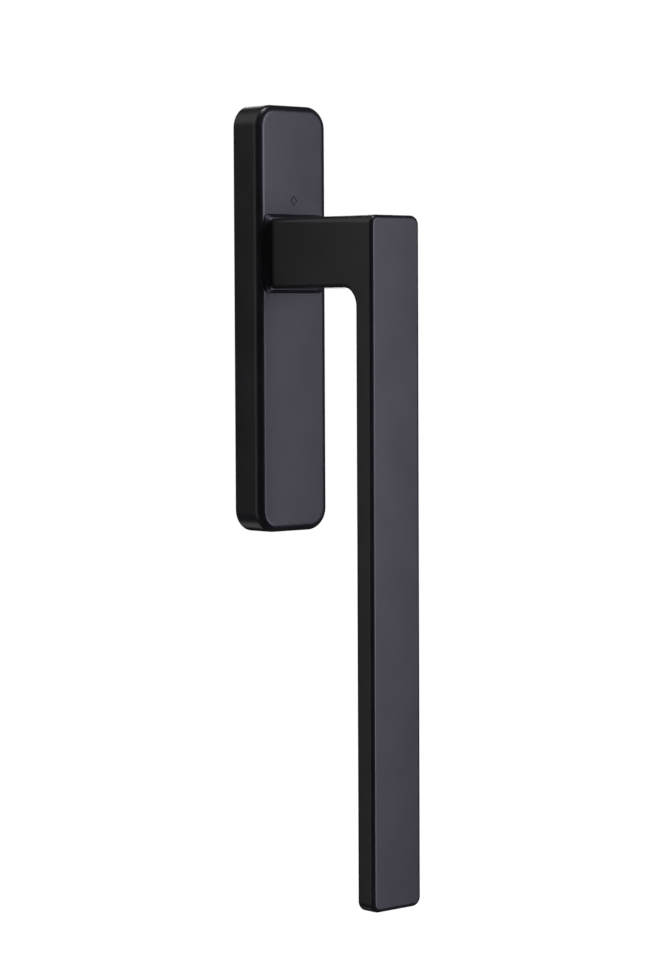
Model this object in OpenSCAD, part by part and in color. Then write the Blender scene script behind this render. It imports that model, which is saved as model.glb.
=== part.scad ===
// Lift-and-slide patio door handle: a flat bar lever on a long cover plate.
// The origin is the spindle axis in the plane of the door face. +X is right,
// +Y goes into the door and +Z is up, so the handle faces -Y. Millimetres.

/* [Cover plate] */
// Height of the cover plate
cover_h = 180; // [165:1:220]
// Width of the cover plate
cover_w = 39; // [38:0.1:48]
// How far the cover plate stands off the door
cover_d = 16; // [15.5:0.5:22]
// Wall of the cover plate
cover_wall = 1.8; // [1.2:0.1:2]
// Corner radius of the cover plate's outline
cover_corner = 9.5; // [4:0.5:16]
// Rounding of the cover plate's front edge
cover_edge = 3.3; // [1:0.1:3.5]
// Spindle axis to the top of the cover plate
axis_to_top = 62.5; // [58:0.5:80]
// Width across the corners of the engraved diamond above the neck
mark_size = 4.4; // [2:0.2:6]
// Width of the engraved mark's line, from corner to corner
mark_line = 1; // [0.4:0.1:1.4]
// Depth of the engraved diamond
mark_deep = 0.3; // [0.1:0.05:0.5]
// Collar's top edge to the centre of the engraved diamond
mark_rise = 5.9; // [4:0.1:20]

/* [Lever] */
// Spindle axis to the lower end of the grip
lever_len = 271; // [150:1:340]
// Width of the flat bar
lever_w = 27.5; // [24:0.5:34]
// Height of the neck
neck_h = 29.4; // [24:0.2:36]
// Thickness of the grip
grip_t = 10; // [8:0.5:14]
// Face of the cover plate to the front of the grip
grip_stand = 62.5; // [50:0.5:80]
// Inner radius between the neck and the grip
bend_r = 8; // [4:0.5:12]
// Corner radius of the grip's outline
grip_corner = 4; // [2:0.5:8]
// Rounding of the lever's long edges
lever_edge = 1.8; // [0.8:0.1:2]
// Running gap between the lever and the cover plate
face_gap = 0.3; // [0.2:0.05:0.8]

/* [Neck collar] */
// How far the collar stands out beside the neck
collar_side = 2.8; // [1.5:0.1:4]
// How far the collar stands out above and below the neck
collar_top = 1.9; // [1.2:0.1:4]
// Thickness of the collar
collar_t = 1; // [0.8:0.1:3]
// Corner radius of the collar
collar_corner = 2.6; // [1:0.1:4]
// How deep the collar slopes away from the neck to its rim
collar_slope = 0.8; // [0.2:0.1:2]
// Width of the flat strip between the slope and the neck
collar_flat = 0.4; // [0.2:0.1:1]

/* [Drive] */
// Side of the square spindle
spindle_side = 10; // [7:0.5:10]
// How far the spindle reaches behind the door face
spindle_back = 15; // [10:1:80]
// Diameter of the hub's bearing journal
hub_d = 20; // [16.5:0.1:21]
// Side of the hub's square nose inside the neck
nose_side = 13; // [12.5:0.5:15]
// Length of the hub's square nose
nose_len = 19.5; // [17:0.5:28]
// Diameter of the pin that locks the spindle in the hub
pin_d = 3; // [2:0.5:3]
// Width of the tab that stops the lever at both ends of its half turn
tab_w = 5; // [3:0.5:7]

/* [Base] */
// Distance between the two fixing screws
screw_pitch = 80; // [66:0.1:92]
// Thread diameter of the fixing screws
screw_d = 6; // [4:0.5:6]
// How far the fixing screws reach behind the door face
screw_back = 17; // [10:1:90]
// Depth of the base plate
base_d = 8; // [7:0.5:10]
// Wall of the bearing bush
bush_wall = 2.5; // [1.5:0.1:2.5]
// Width of a cover clip
clip_w = 8; // [5:0.5:10]
// Thickness of a cover clip
clip_t = 0.5; // [0.4:0.1:0.6]

/* [Clearances] */
// Cover plate to base plate, on each side
base_gap = 0.4; // [0.3:0.05:0.8]
// Radial running fit of the hub in its bush
run_fit = 0.05; // [0.02:0.01:0.1]
// Loose fit of the parts that are put together by hand
loose_fit = 0.1; // [0.05:0.01:0.2]

/* [Hidden] */
$fn = 64;
hull_fn = 32;
eps = 0.01;

powder_black = "#222226";
bare_casting = "#9a9c9f";
bright_zinc = "#b9bcc0";
spring_steel = "#7d8187";
bush_plastic = "#d8d4c8";
dark_rubber = "#2a2a2a";

// The cover plate's box
cover_top = axis_to_top;
cover_bottom = cover_top - cover_h;
cover_mid = (cover_top + cover_bottom) / 2;
inner_w = cover_w - 2 * cover_wall;
inner_h = cover_h - 2 * cover_wall;
inner_front = cover_d - cover_wall;
inner_corner = max(cover_corner - cover_wall, 0.5);

// The base plate inside it
end_gap = 2.2;
base_w = inner_w - 2 * base_gap;
base_h = inner_h - 2 * end_gap;
base_top = cover_top - cover_wall - end_gap;
base_bottom = cover_bottom + cover_wall + end_gap;
base_corner = max(inner_corner - base_gap, 0.5);
base_floor = 2.6;
base_rib = 2.4;

// Depths of the drive, from the door face outwards
hub_back = 0.5;
ring_t = 1;
groove_w = ring_t + loose_fit;
groove_back = hub_back + 0.4;
spring_t = 0.7;
spring_back = groove_back + groove_w + loose_fit / 2;
stop_t = 1.5;
stop_back = spring_back + spring_t + loose_fit;
seat_back = stop_back + stop_t + 0.15;
flange_t = 1.2;
bush_front = inner_front - 1;
boss_front = bush_front - flange_t;
hub_flange_back = bush_front + loose_fit;
lever_back = cover_d + face_gap;
grip_front = cover_d + grip_stand;
grip_back = grip_front - grip_t;

// Radii of the drive
hub_r = hub_d / 2;
bush_r = hub_r + run_fit + bush_wall;
boss_r = bush_r + 4;
flange_r = bush_r + 2;
hub_flange_r = hub_r + 3;
cover_hole_r = hub_flange_r + 0.5;
groove_r = hub_r - 0.8;
ring_r = hub_r + 2.4;
recess_r = hub_r + 3.2;
tab_r = hub_r + 5.6;
stop_slot_r = tab_r + 0.3;
stop_gap = 0.1;

// Spindle, lock pin and set screw
pin_depth = lever_back + nose_len - 4.5;
spindle_front = lever_back + nose_len - 1;
set_screw_d = 6;
set_screw_depth = lever_back + 8;
set_screw_sunk = 0.6;

// Fixing screws
shank_d = screw_d * 0.89;
head_r = screw_d;
head_h = head_r - screw_d / 2;
head_sunk = 1.2;
head_front = base_d - head_sunk;
screw_boss_r = head_r + 2.6;

// Cover clips
clip_slot_w = clip_w + 0.6;
clip_slot_in = 2.2;
clip_land_w = clip_w + 5;
bead_out = 0.55;
bead_back = 3.2;
bead_t = 1.2;
clip_rows = [screw_pitch / 2 - screw_boss_r - clip_w / 2 - 1, base_bottom + 22];

// Draws its children with local X to the right, local Y up and local Z out of the door.
module facing_out() {
    rotate([90, 0, 0]) children();
}

// Flat outline of a rectangle with round corners.
module rounded_outline(w, h, r) {
    square([w - 2 * r, h], center = true);
    square([w, h - 2 * r], center = true);
    for (sx = [-1, 1], sy = [-1, 1])
        translate([sx * (w / 2 - r), sy * (h / 2 - r)]) circle(r);
}

// Disc with a rounded edge at its front, and at its back too if asked.
module soft_disc(r, t, edge, both = false) {
    rotate_extrude($fn = hull_fn) {
        translate([0, both ? edge : 0]) square([r, t - edge - (both ? edge : 0)]);
        square([r - edge, t]);
        for (z = both ? [edge, t - edge] : [t - edge])
            translate([r - edge, z]) intersection() {
                circle(edge, $fn = hull_fn);
                translate([0, -edge]) square([edge, 2 * edge]);
            }
    }
}

// Rounded rectangle with soft edges, standing on its back face.
module soft_slab(w, h, t, corner, edge, both = false) {
    hull()
        for (sx = [-1, 1], sy = [-1, 1])
            translate([sx * (w / 2 - corner), sy * (h / 2 - corner), 0])
                soft_disc(corner, t, edge, both);
}

// Bay cut into the base plate from its front, between two heights.
module base_bay(low, high) {
    if (high - low > 4)
        translate([-base_w / 2 + base_rib, low, base_floor])
            cube([base_w - 2 * base_rib, high - low, base_d]);
}

// Die-cast base plate: screw seats, hub seat, stop slot, ribs and clip slots.
module base_plate() {
    lower_bay_top = -screw_pitch / 2 - screw_boss_r;
    clip_low = clip_rows[1] - clip_land_w / 2;
    clip_high = clip_rows[1] + clip_land_w / 2;
    bays = 3;
    bay_step = (lower_bay_top - clip_high + base_rib) / bays;
    color(bare_casting) facing_out() difference() {
        union() {
            translate([0, (base_top + base_bottom) / 2, 0])
                linear_extrude(base_d) rounded_outline(base_w, base_h, base_corner);
            cylinder(r = boss_r, h = boss_front);
        }
        base_bay(screw_pitch / 2 + screw_boss_r, base_top - base_rib);
        base_bay(base_bottom + base_rib, clip_low);
        for (i = [0 : bays - 1])
            base_bay(clip_high + i * bay_step, clip_high + (i + 1) * bay_step - base_rib);
        base_bay(-screw_pitch / 2 + screw_boss_r, -boss_r - 1);
        translate([0, 0, -1]) cylinder(r = recess_r, h = seat_back + 1);
        stop_slot();
        cylinder(r = bush_r, h = boss_front + 1);
        for (s = [-1, 1]) translate([0, s * screw_pitch / 2, 0]) screw_seat();
        for (row = clip_rows, s = [-1, 1])
            translate([s * (base_w / 2 - clip_slot_in / 2 + 0.5), row, base_d / 2])
                cube([clip_slot_in + 1, clip_slot_w, base_d + 2], center = true);
    }
}

// Half-round slot in the back of the base plate in which the stop tab swings.
module stop_slot() {
    flat_x = -tab_w / 2 - stop_gap;
    translate([0, 0, -1]) difference() {
        cylinder(r = stop_slot_r, h = seat_back + 1);
        translate([flat_x - 2 * stop_slot_r, -2 * stop_slot_r, -1])
            cube([2 * stop_slot_r, 4 * stop_slot_r, seat_back + 3]);
    }
}

// Clearance hole and countersink of one fixing screw.
module screw_seat() {
    hole_r = screw_d / 2 + 2 * loose_fit;
    translate([0, 0, -1]) cylinder(r = hole_r, h = base_d + 2);
    translate([0, 0, head_front - head_h])
        cylinder(r1 = screw_d / 2 + loose_fit, r2 = head_r + loose_fit, h = head_h);
    translate([0, 0, head_front]) cylinder(r = head_r + loose_fit, h = base_d);
}

// Pressed cover plate: an open-backed shell with a round hole for the hub,
// snap beads over the clips and an engraved diamond above the neck.
module cover_plate() {
    color(powder_black) facing_out() {
        difference() {
            translate([0, cover_mid, 0])
                soft_slab(cover_w, cover_h, cover_d, cover_corner, cover_edge);
            translate([0, cover_mid, -cover_d])
                soft_slab(inner_w, inner_h, inner_front + cover_d, inner_corner,
                    min(1, inner_corner / 2));
            translate([0, 0, inner_front - 1]) cylinder(r = cover_hole_r, h = cover_wall + 2);
            translate([0, neck_h / 2 + collar_top + mark_rise, cover_d - mark_deep])
                difference() {
                    cylinder(d = mark_size, h = 1, $fn = 4);
                    cylinder(d = mark_size - 2 * mark_line, h = 1, $fn = 4);
                }
        }
        for (row = clip_rows, s = [-1, 1])
            translate([s * (inner_w / 2), row, bead_back])
                snap_bead(s);
    }
}

// Ridge inside the cover plate's wall that a clip holds.
module snap_bead(side) {
    translate([0, clip_w / 2, 0]) rotate([90, 0, 0]) linear_extrude(clip_w)
        polygon([
            [side * eps, 0], [-side * bead_out, bead_t / 3],
            [-side * bead_out, 2 * bead_t / 3], [side * eps, bead_t]
        ]);
}

// Flanged plastic bush in which the hub turns.
module bearing_bush() {
    color(bush_plastic) facing_out() difference() {
        union() {
            translate([0, 0, seat_back]) cylinder(r = bush_r, h = bush_front - seat_back);
            translate([0, 0, boss_front]) cylinder(r = flange_r, h = flange_t);
        }
        cylinder(r = hub_r + run_fit, h = cover_d);
    }
}

// Countersunk fixing screw: thread behind the base plate, slimmer shank through
// it and a hexagon socket.
module fixing_screw(height) {
    tip = screw_d / 8;
    color(bright_zinc) facing_out() translate([0, height, 0]) difference() {
        union() {
            translate([0, 0, -screw_back + tip]) cylinder(d = screw_d, h = screw_back - tip);
            translate([0, 0, -tip]) cylinder(d = shank_d, h = tip + head_front - head_h + eps);
            translate([0, 0, -screw_back])
                cylinder(d1 = screw_d - 2 * tip, d2 = screw_d, h = tip);
            translate([0, 0, head_front - head_h])
                cylinder(r1 = screw_d / 2, r2 = head_r, h = head_h);
        }
        translate([0, 0, head_front - head_h * 0.8])
            cylinder(d = screw_d * 0.77, h = head_h, $fn = 6);
    }
}

// Spring steel clip: a U in its slot whose outer leg bulges behind the snap bead.
module cover_clip(side, row) {
    leg_in = base_w / 2 - clip_slot_in + loose_fit / 2;
    leg_out = base_w / 2 - clip_t - 0.25;
    bulge = inner_w / 2 - 0.1;
    bulge_at = bead_back - 0.6;
    color(spring_steel) facing_out() translate([0, row + clip_w / 2, 0])
        rotate([90, 0, 0]) linear_extrude(clip_w) scale([side, 1])
            polygon([
                [leg_in, base_d - 1], [leg_in, 0.3], [leg_out + clip_t, 0.3],
                [bulge, bulge_at - 0.7], [bulge, bulge_at],
                [leg_out + clip_t, bulge_at + 0.5], [leg_out + clip_t, base_d - 2],
                [leg_out, base_d - 2], [leg_out, bulge_at + 0.3],
                [bulge - clip_t, bulge_at - 0.2], [bulge - clip_t, bulge_at - 0.5],
                [leg_out, 0.3 + clip_t], [leg_in + clip_t, 0.3 + clip_t],
                [leg_in + clip_t, base_d - 1]
            ]);
}

// Rubber buffer between one end of the base plate and the cover plate.
module end_buffer(side) {
    thick = end_gap;
    end_z = side > 0 ? base_top : base_bottom - thick;
    color(dark_rubber) facing_out()
        translate([-inner_w / 2 + inner_corner + 1, end_z, 1])
            cube([inner_w - 2 * inner_corner - 2, thick, base_d - 2]);
}

// Solid flat bar lever: the neck, the hanging grip, the socket for the hub's
// nose and the threaded hole for the set screw.
module lever() {
    socket_side = nose_side + loose_fit;
    color(powder_black) facing_out() difference() {
        union() {
            neck_bar();
            translate([0, (neck_h / 2 - lever_len) / 2, grip_back])
                soft_slab(lever_w, lever_len + neck_h / 2, grip_t, grip_corner, lever_edge, true);
            inner_bend();
        }
        translate([-socket_side / 2, -socket_side / 2, lever_back - 1])
            cube([socket_side, socket_side, nose_len + 1.5]);
        translate([0, -neck_h / 2 - 1, set_screw_depth]) rotate([-90, 0, 0])
            cylinder(d = set_screw_d, h = neck_h / 2 + 1);
    }
}

// Neck from its flat back to just behind the grip's front face.
module neck_bar() {
    reach = grip_front - lever_edge - 0.4;
    hull() for (sx = [-1, 1], sy = [-1, 1]) {
        translate([sx * (lever_w / 2 - lever_edge), sy * (neck_h / 2 - lever_edge), lever_back])
            cylinder(r = lever_edge, h = 1, $fn = hull_fn);
        translate([sx * (lever_w / 2 - grip_corner), sy * (neck_h / 2 - grip_corner), reach - 1])
            cylinder(r = grip_corner, h = 1, $fn = hull_fn);
    }
}

// Concave blend between the underside of the neck and the back of the grip.
module inner_bend() {
    deep = bend_r * 0.45 + lever_edge;
    translate([0, -neck_h / 2 - bend_r, grip_back - bend_r]) rotate([0, -90, 0])
        rotate_extrude(angle = 90) translate([bend_r, 0]) {
            translate([lever_edge, -lever_w / 2]) square([deep, lever_w]);
            translate([0, -lever_w / 2 + lever_edge])
                square([lever_edge + 1, lever_w - 2 * lever_edge]);
            for (s = [-1, 1]) translate([lever_edge, s * (lever_w / 2 - lever_edge)])
                circle(lever_edge);
        }
}

// Thin square collar pushed over the neck, covering the hole in the cover plate.
module neck_collar() {
    w = lever_w + 2 * collar_side;
    h = neck_h + 2 * collar_top;
    slope = min(collar_slope, collar_t - 0.2);
    color(powder_black) facing_out() translate([0, 0, lever_back]) difference() {
        hull() {
            linear_extrude(collar_t - slope) rounded_outline(w, h, collar_corner);
            linear_extrude(collar_t)
                square([lever_w + 2 * collar_flat, neck_h + 2 * collar_flat], center = true);
        }
        translate([0, 0, -1]) linear_extrude(collar_t + 2)
            square([lever_w + loose_fit, neck_h + loose_fit], center = true);
    }
}

// Steel hub: journal, thrust flange, square nose, ring groove and flats.
module drive_hub() {
    hole = spindle_side + loose_fit;
    flat_at = hub_r - 1;
    color(bright_zinc) facing_out() difference() {
        union() {
            translate([0, 0, hub_back]) cylinder(r = hub_r, h = hub_flange_back - hub_back);
            translate([0, 0, hub_flange_back])
                cylinder(r = hub_flange_r, h = lever_back - hub_flange_back);
            translate([-nose_side / 2, -nose_side / 2, lever_back - 1])
                cube([nose_side, nose_side, nose_len + 1]);
        }
        translate([-hole / 2, -hole / 2, -1]) cube([hole, hole, lever_back + nose_len + 2]);
        translate([0, 0, groove_back]) difference() {
            cylinder(r = hub_r + 1, h = groove_w);
            cylinder(r = groove_r, h = groove_w);
        }
        for (s = [-1, 1]) translate([s * (flat_at + 5), 0, seat_back / 2])
            cube([10, 3 * hub_r, seat_back], center = true);
        translate([0, 0, pin_depth]) rotate([0, 90, 0])
            cylinder(d = pin_d + loose_fit, h = 2 * nose_side, center = true);
    }
}

// Square spindle with chamfered ends and a cross hole for its pin.
module spindle() {
    s = spindle_side;
    c = 0.8;
    color(bright_zinc) facing_out() difference() {
        translate([-s / 2, -s / 2, -spindle_back])
            cube([s, s, spindle_back + spindle_front]);
        for (a = [0 : 90 : 270]) rotate([0, 0, a]) translate([s / 2, 0, -spindle_back])
            rotate([0, 45, 0]) cube([c * sqrt(2), 2 * s, c * sqrt(2)], center = true);
        translate([0, 0, pin_depth]) rotate([0, 90, 0])
            cylinder(d = pin_d + loose_fit, h = 2 * s, center = true);
    }
}

// Steel pin through the hub's nose and the spindle.
module lock_pin() {
    color(spring_steel) facing_out() translate([0, 0, pin_depth]) rotate([0, 90, 0])
        cylinder(d = pin_d, h = nose_side - 0.4, center = true);
}

// Set screw in the underside of the neck, pressing on the hub's nose.
module set_screw() {
    low = -neck_h / 2 + set_screw_sunk;
    high = -nose_side / 2 - loose_fit;
    color(spring_steel) facing_out() translate([0, low, set_screw_depth])
        rotate([-90, 0, 0]) difference() {
            union() {
                cylinder(d = set_screw_d - loose_fit, h = high - low - 0.8);
                translate([0, 0, high - low - 0.8])
                    cylinder(d1 = set_screw_d - loose_fit, d2 = 3.6, h = 0.8);
            }
            translate([0, 0, -1]) cylinder(d = set_screw_d * 0.58, h = 3.6, $fn = 6);
        }
}

// Washer keyed to the hub's flats, with the tab that meets the ends of its slot.
module stop_washer() {
    color(spring_steel) facing_out() translate([0, 0, stop_back]) difference() {
        union() {
            cylinder(r = ring_r + 0.3, h = stop_t);
            translate([-tab_w / 2, 0, 0]) intersection() {
                cube([tab_w, tab_r, stop_t]);
                translate([tab_w / 2, 0, 0]) cylinder(r = tab_r, h = stop_t);
            }
        }
        translate([0, 0, -1]) intersection() {
            cylinder(r = hub_r + loose_fit, h = stop_t + 2);
            translate([0, 0, stop_t / 2 + 1])
                cube([2 * (hub_r - 1 + loose_fit / 2), 3 * hub_r, stop_t + 3], center = true);
        }
    }
}

// Flat ring form of the spring washer that keeps the hub free of play.
module spring_washer() {
    color(spring_steel) facing_out() translate([0, 0, spring_back]) difference() {
        cylinder(r = ring_r + 0.2, h = spring_t);
        translate([0, 0, -1]) cylinder(r = hub_r + loose_fit, h = spring_t + 2);
    }
}

// Open retaining ring in the hub's groove.
module retaining_ring() {
    opening = 7;
    color(spring_steel) facing_out() translate([0, 0, groove_back + loose_fit / 2])
        difference() {
            cylinder(r = ring_r, h = ring_t);
            translate([0, 0, -1]) cylinder(r = groove_r + loose_fit, h = ring_t + 2);
            translate([-opening / 2, -2 * ring_r, -1]) cube([opening, 2 * ring_r, ring_t + 2]);
        }
}

base_plate();
cover_plate();
bearing_bush();
fixing_screw(screw_pitch / 2);  // screw_upper
fixing_screw(-screw_pitch / 2);  // screw_lower
cover_clip(-1, clip_rows[0]);  // clip_upper_left
cover_clip(1, clip_rows[0]);  // clip_upper_right
cover_clip(-1, clip_rows[1]);  // clip_lower_left
cover_clip(1, clip_rows[1]);  // clip_lower_right
end_buffer(1);  // end_buffer_upper
end_buffer(-1);  // end_buffer_lower
lever();
neck_collar();
drive_hub();
spindle();
lock_pin();
set_screw();
stop_washer();
spring_washer();
retaining_ring();
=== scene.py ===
"""Looks of a lift-and-slide patio door handle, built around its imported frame.

The handle faces -Y, +X is right and +Z is up, and a depth counts from the door face
towards -Y. Every piece is made in metres, in place, rides on its body and takes the
finish of its material slot.
"""

import logging
import math
from collections.abc import Callable
from dataclasses import dataclass, field
from enum import Enum

import bmesh
import bpy
from mathutils import Matrix, Vector


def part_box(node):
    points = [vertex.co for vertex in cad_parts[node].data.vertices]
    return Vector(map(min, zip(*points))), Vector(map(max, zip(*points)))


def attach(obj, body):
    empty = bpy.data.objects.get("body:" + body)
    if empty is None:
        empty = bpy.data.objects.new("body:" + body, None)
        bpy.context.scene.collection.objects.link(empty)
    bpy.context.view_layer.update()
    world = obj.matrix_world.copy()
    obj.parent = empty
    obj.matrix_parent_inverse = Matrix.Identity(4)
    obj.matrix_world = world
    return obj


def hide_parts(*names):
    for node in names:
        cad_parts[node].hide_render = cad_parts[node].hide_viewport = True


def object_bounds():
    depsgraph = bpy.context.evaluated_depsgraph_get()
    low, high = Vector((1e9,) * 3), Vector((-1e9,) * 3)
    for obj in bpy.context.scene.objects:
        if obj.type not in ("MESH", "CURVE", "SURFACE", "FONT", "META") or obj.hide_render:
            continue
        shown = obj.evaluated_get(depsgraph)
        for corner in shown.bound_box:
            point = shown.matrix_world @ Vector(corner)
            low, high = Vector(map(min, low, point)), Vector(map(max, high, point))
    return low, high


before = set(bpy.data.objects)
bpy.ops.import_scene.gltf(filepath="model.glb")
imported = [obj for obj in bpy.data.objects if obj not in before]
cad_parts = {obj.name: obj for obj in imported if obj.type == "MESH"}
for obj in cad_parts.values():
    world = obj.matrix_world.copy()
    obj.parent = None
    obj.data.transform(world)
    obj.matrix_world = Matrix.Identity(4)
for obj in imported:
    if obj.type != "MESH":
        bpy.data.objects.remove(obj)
cad_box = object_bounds()

LOG = logging.getLogger("door_handle")
MM = 0.001
WELD = 0.002 * MM

Span = tuple[float, float]
Colour = tuple[float, float, float]

CLIPS = ("clip_upper_left", "clip_upper_right", "clip_lower_left", "clip_lower_right")

# A noise seldom leaves these values, so shades and sheens run between them.
SHADE_SPAN: Span = (0.32, 0.68)
SHEEN_SPAN: Span = (0.3, 0.7)


class Body(Enum):
    """The two bodies of the handle."""

    BASE = "base"
    LEVER = "lever"


class Cut(Enum):
    """How one closed shape changes another."""

    AWAY = "DIFFERENCE"
    JOIN = "UNION"


class Section(Enum):
    """Outline of a turned piece at one station along its axis."""

    ROUND = "round"
    HEXAGON = "hexagon"


# --- node trees


class TreeWriter:
    """Adds and links the nodes of one shader or geometry tree."""

    def __init__(self, tree: bpy.types.NodeTree) -> None:
        """Empties the tree and holds it."""
        self.tree = tree
        tree.nodes.clear()

    def add(self, kind: str, inputs: dict[int | str, object] | None = None,
            **settings: object) -> bpy.types.Node:
        """Adds a node.

        Args:
            kind: The node's class name.
            inputs: What feeds its inputs, by number or name.
            **settings: Properties of the node, by name.

        Returns:
            The new node.
        """
        node = self.tree.nodes.new(kind)
        for key, value in settings.items():
            setattr(node, key, value)
        for key, value in (inputs or {}).items():
            self.feed(node.inputs[key], value)
        return node

    def feed(self, socket: bpy.types.NodeSocket, value: object) -> None:
        """Links an input to a node's first output or to a socket, or sets its plain value."""
        if isinstance(value, bpy.types.Node):
            value = value.outputs[0]
        if isinstance(value, bpy.types.NodeSocket):
            self.tree.links.new(value, socket)
        else:
            socket.default_value = value

    def math(self, operation: str, *values: object) -> bpy.types.Node:
        """Adds a Math node with its one to three inputs."""
        return self.add("ShaderNodeMath", dict(enumerate(values)), operation=operation)

    def span(self, value: object, low: object, high: object, to_low: object,
             to_high: object) -> bpy.types.Node:
        """Carries a value from one range over to another, held inside it."""
        return self.add("ShaderNodeMapRange", {"Value": value, "From Min": low, "From Max": high,
                                               "To Min": to_low, "To Max": to_high})


@dataclass(frozen=True)
class Grain:
    """A noise that stays with the piece."""

    per_mm: float
    layers: float
    stretch: Colour = (1, 1, 1)


@dataclass(frozen=True)
class Relief:
    """A grain that stands out of the surface, with its depth in millimetres."""

    grain: Grain
    strength: float
    depth: float


class SurfaceWriter(TreeWriter):
    """Writes a material's tree, with each grain made once."""

    def __init__(self, tree: bpy.types.NodeTree) -> None:
        """Empties the tree and holds it."""
        super().__init__(tree)
        self.grains: dict[Grain, bpy.types.NodeSocket] = {}

    def grain(self, wanted: Grain) -> bpy.types.NodeSocket:
        """Adds a grain, or finds it if it is there already, for its value's socket."""
        if wanted not in self.grains:
            spot = self.add("ShaderNodeTexCoord").outputs["Object"]
            scaled = self.add("ShaderNodeMapping", {"Vector": spot, "Scale": wanted.stretch})
            noise = self.add("ShaderNodeTexNoise", {"Vector": scaled, "Scale": wanted.per_mm / MM,
                                                    "Detail": wanted.layers})
            self.grains[wanted] = noise.outputs["Fac"]
        return self.grains[wanted]


# --- finishes


@dataclass(frozen=True)
class Finish:
    """A surface finish: its slot in the record and what its shader holds.

    The cloud's grain carries the colour from its dark to its light share, and the mean of
    the sheen's grains carries the roughness from one shift to the other.
    """

    name: str
    slot: str
    colour: Colour
    roughness: float
    cloud: Grain
    sheen: tuple[Grain, ...]
    shifts: Span
    reliefs: tuple[Relief, ...]
    metallic: float = 0.0
    dark: Colour = (1, 1, 1)
    light: Colour = (1, 1, 1)

    def material(self) -> bpy.types.Material:
        """Builds the finish's material, or finds it if it is built already.

        Returns:
            The material.
        """
        found = bpy.data.materials.get(self.name)
        if found:
            return found
        made = bpy.data.materials.new(self.name)
        made.use_nodes = True
        write = SurfaceWriter(made.node_tree)
        shader = write.add("ShaderNodeBsdfPrincipled", {
            "Base Color": (*self.colour, 1), "Roughness": self.roughness,
            "Metallic": self.metallic})
        write.add("ShaderNodeOutputMaterial", {"Surface": shader})
        write.feed(shader.inputs["Base Color"], self.shades(write))
        write.feed(shader.inputs["Roughness"], self.varied_sheen(write))
        write.feed(shader.inputs["Normal"], self.stacked_reliefs(write))
        return made

    def shades(self, write: SurfaceWriter) -> bpy.types.Node:
        """Adds the colour, between its two shades.

        Args:
            write: The tree being written.

        Returns:
            The colour's node.
        """
        ramp = write.add("ShaderNodeValToRGB", {0: write.grain(self.cloud)})
        stops = zip(ramp.color_ramp.elements, SHADE_SPAN, (self.dark, self.light))
        for stop, position, share in stops:
            stop.position = position
            stop.color = (*(c * s for c, s in zip(self.colour, share)), 1)
        return ramp

    def varied_sheen(self, write: SurfaceWriter) -> bpy.types.Node:
        """Adds the roughness, which varies with the mean of the sheen's grains.

        Args:
            write: The tree being written.

        Returns:
            The roughness's node.
        """
        mean = 0.0
        for grain in self.sheen:
            mean = write.math("MULTIPLY_ADD", write.grain(grain), 1 / len(self.sheen), mean)
        start, end = (self.roughness + shift for shift in self.shifts)
        return write.span(mean, *SHEEN_SPAN, start, end)

    def stacked_reliefs(self, write: SurfaceWriter) -> bpy.types.Node:
        """Adds the bumps, each on top of the one before.

        Args:
            write: The tree being written.

        Returns:
            The last bump's node.
        """
        below: dict[int | str, object] = {}
        for relief in self.reliefs:
            bump = write.add("ShaderNodeBump", {
                "Height": write.grain(relief.grain), "Strength": relief.strength,
                "Distance": relief.depth * MM, **below})
            below = {"Normal": bump}
        return bump


@dataclass(frozen=True)
class PowderCoat(Finish):
    """Satin black powder coat: a little cloudy, with orange peel under a close sheen."""

    name: str = "satin_black_powder_coat"
    slot: str = "black_coat"
    colour: Colour = (0.0165, 0.016, 0.0195)
    roughness: float = 0.3
    cloud: Grain = Grain(0.06, 3)
    dark: Colour = (0.85, 0.85, 0.85)
    light: Colour = (1.25, 1.25, 1.25)
    sheen: tuple[Grain, ...] = (cloud, Grain(2.2, 2))
    shifts: Span = (-0.025, 0.025)
    reliefs: tuple[Relief, ...] = (Relief(Grain(0.9, 1), 0.1, 0.02),
                                   Relief(Grain(2.2, 2), 0.12, 0.01))


@dataclass(frozen=True)
class CastAlloy(Finish):
    """Bare die-cast zinc alloy: dull flow marks and a sandy grain."""

    name: str = "bare_die_casting"
    slot: str = "alloy_casting"
    colour: Colour = (0.42, 0.425, 0.43)
    roughness: float = 0.5
    metallic: float = 0.9
    cloud: Grain = Grain(0.035, 5, (2.2, 1, 0.7))
    dark: Colour = (0.68, 0.68, 0.68)
    light: Colour = (1.15, 1.15, 1.15)
    sheen: tuple[Grain, ...] = (cloud,)
    shifts: Span = (0.14, -0.1)
    reliefs: tuple[Relief, ...] = (Relief(cloud, 0.3, 0.12), Relief(Grain(3.5, 3), 0.35, 0.03))


@dataclass(frozen=True)
class ZincPlate(Finish):
    """Bright zinc plating whose thin film turns from yellowish to bluish."""

    name: str = "bright_zinc_plate"
    slot: str = "zinc_plated"
    colour: Colour = (0.62, 0.65, 0.69)
    roughness: float = 0.27
    metallic: float = 1.0
    cloud: Grain = Grain(0.22, 4)
    dark: Colour = (1.06, 1.01, 0.86)
    light: Colour = (0.9, 0.97, 1.08)
    sheen: tuple[Grain, ...] = (cloud,)
    shifts: Span = (0.08, -0.06)
    reliefs: tuple[Relief, ...] = (Relief(Grain(5, 2), 0.08, 0.01),)


@dataclass(frozen=True)
class SpringSteel(Finish):
    """Hardened strip steel with a rolled grain and blotches of oil."""

    name: str = "oiled_spring_steel"
    slot: str = "spring_steel"
    colour: Colour = (0.2, 0.205, 0.215)
    roughness: float = 0.34
    metallic: float = 1.0
    cloud: Grain = Grain(0.18, 3)
    dark: Colour = (0.62, 0.62, 0.62)
    sheen: tuple[Grain, ...] = (Grain(1.6, 2, (0.08, 1, 1)),)
    shifts: Span = (-0.07, 0.1)
    reliefs: tuple[Relief, ...] = (Relief(Grain(1.6, 2, (0.08, 1, 1)), 0.2, 0.015),)


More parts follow.
